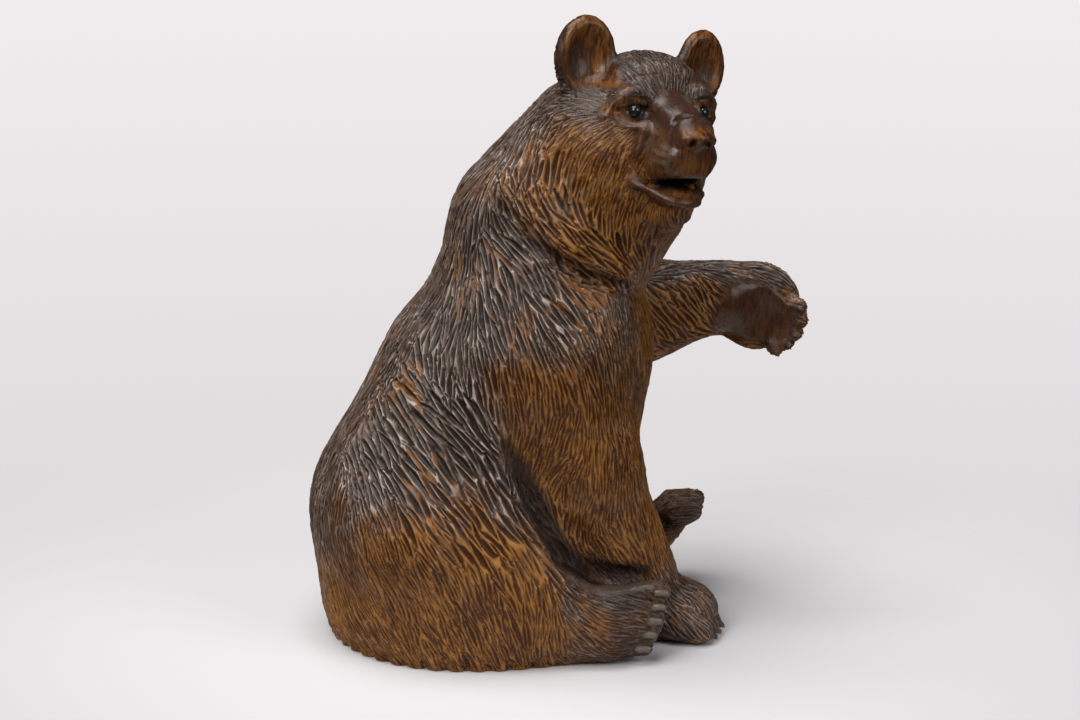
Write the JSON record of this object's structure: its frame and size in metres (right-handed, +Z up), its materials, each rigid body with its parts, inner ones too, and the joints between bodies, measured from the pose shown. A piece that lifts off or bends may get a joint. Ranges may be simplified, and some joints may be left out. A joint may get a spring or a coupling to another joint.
{
  "type": "carved bear figurine",
  "caption": "Carved and stained wooden bear sitting on its haunches, one forepaw held out, head turned, with glass eyes.",
  "frame": {"origin": "on the flat underside, below the middle of the trunk", "axes": "+X the way the body faces, +Y the bear's left side, +Z up; the head is turned towards -Y"},
  "size_m": [0.1613, 0.1114, 0.1999],
  "materials": {
    "stained_wood": "carved linden wood under a dark brown stain, worn to golden brown and pale tan on the ridges, satin; the muzzle, palm and nails rubbed smooth",
    "eye_glass": "dark brown-black glass bead, glossy"
  },
  "bodies": {
    "root": {"bear_body": "stained_wood", "glass_eye_left": "eye_glass", "glass_eye_right": "eye_glass"}
  },
  "joints": []
}
